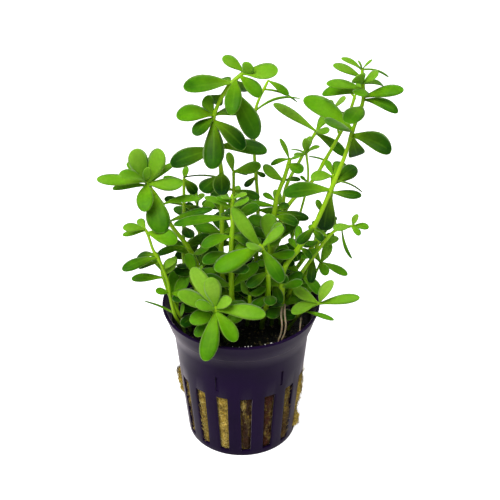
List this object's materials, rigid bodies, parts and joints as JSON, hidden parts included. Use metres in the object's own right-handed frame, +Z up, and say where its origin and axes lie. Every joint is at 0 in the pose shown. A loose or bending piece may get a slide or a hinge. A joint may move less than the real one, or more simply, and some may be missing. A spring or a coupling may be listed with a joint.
{
  "type": "potted aquarium plant",
  "caption": "Potted stem plant with fleshy spoon-shaped leaves in opposite pairs, rooted in mineral wool inside a slotted net pot.",
  "frame": {"origin": "middle of the pot's underside", "axes": "+Z up, -Y towards the side that the picture shows, +X to the right as seen from there"},
  "size_m": [0.0967, 0.0631, 0.1506],
  "materials": {
    "pot": "satin",
    "wool": "matte",
    "leaf": "satin",
    "stem": "satin",
    "root": "matte"
  },
  "bodies": {
    "root": {"leaf_centre_1": "leaf", "leaf_far_left_1": "leaf", "leaf_far_left_2": "leaf", "leaf_front_1": "leaf", "leaf_front_2": "leaf", "leaf_front_3": "leaf", "leaf_front_4": "leaf", "leaf_front_centre_1": "leaf", "leaf_front_centre_2": "leaf", "leaf_lean_right_1": "leaf", "leaf_rim_right_1": "leaf", "leaf_slender_1": "leaf", "leaf_tall_left_1": "leaf", "leaf_tall_left_2": "leaf", "leaf_tall_left_3": "leaf", "leaf_tall_left_4": "leaf", "leaf_tall_left_5": "leaf", "leaf_tall_right_1": "leaf", "leaf_tall_right_2": "leaf", "leaf_tall_right_3": "leaf", "leaf_tall_right_4": "leaf", "mineral_wool": "wool", "net_pot": "pot", "root_1": "root", "root_2": "root", "root_3": "root", "stem_back_left": "stem", "stem_back_middle": "stem", "stem_back_right": "stem", "stem_behind_right": "stem", "stem_centre": "stem", "stem_centre_bud": "stem", "stem_centre_right": "stem", "stem_far_left": "stem", "stem_far_right": "stem", "stem_front": "stem", "stem_front_centre": "stem", "stem_inner_left": "stem", "stem_inner_middle": "stem", "stem_lean_right": "stem", "stem_low_left": "stem", "stem_low_left_inner": "stem", "stem_lower_right": "stem", "stem_mid_left": "stem", "stem_mid_right": "stem", "stem_middle": "stem", "stem_plantlet": "stem", "stem_rim_right": "stem", "stem_side_right": "stem", "stem_slender": "stem", "stem_tall_left": "stem", "stem_tall_right": "stem", "stem_thin_right": "stem"}
  },
  "joints": []
}
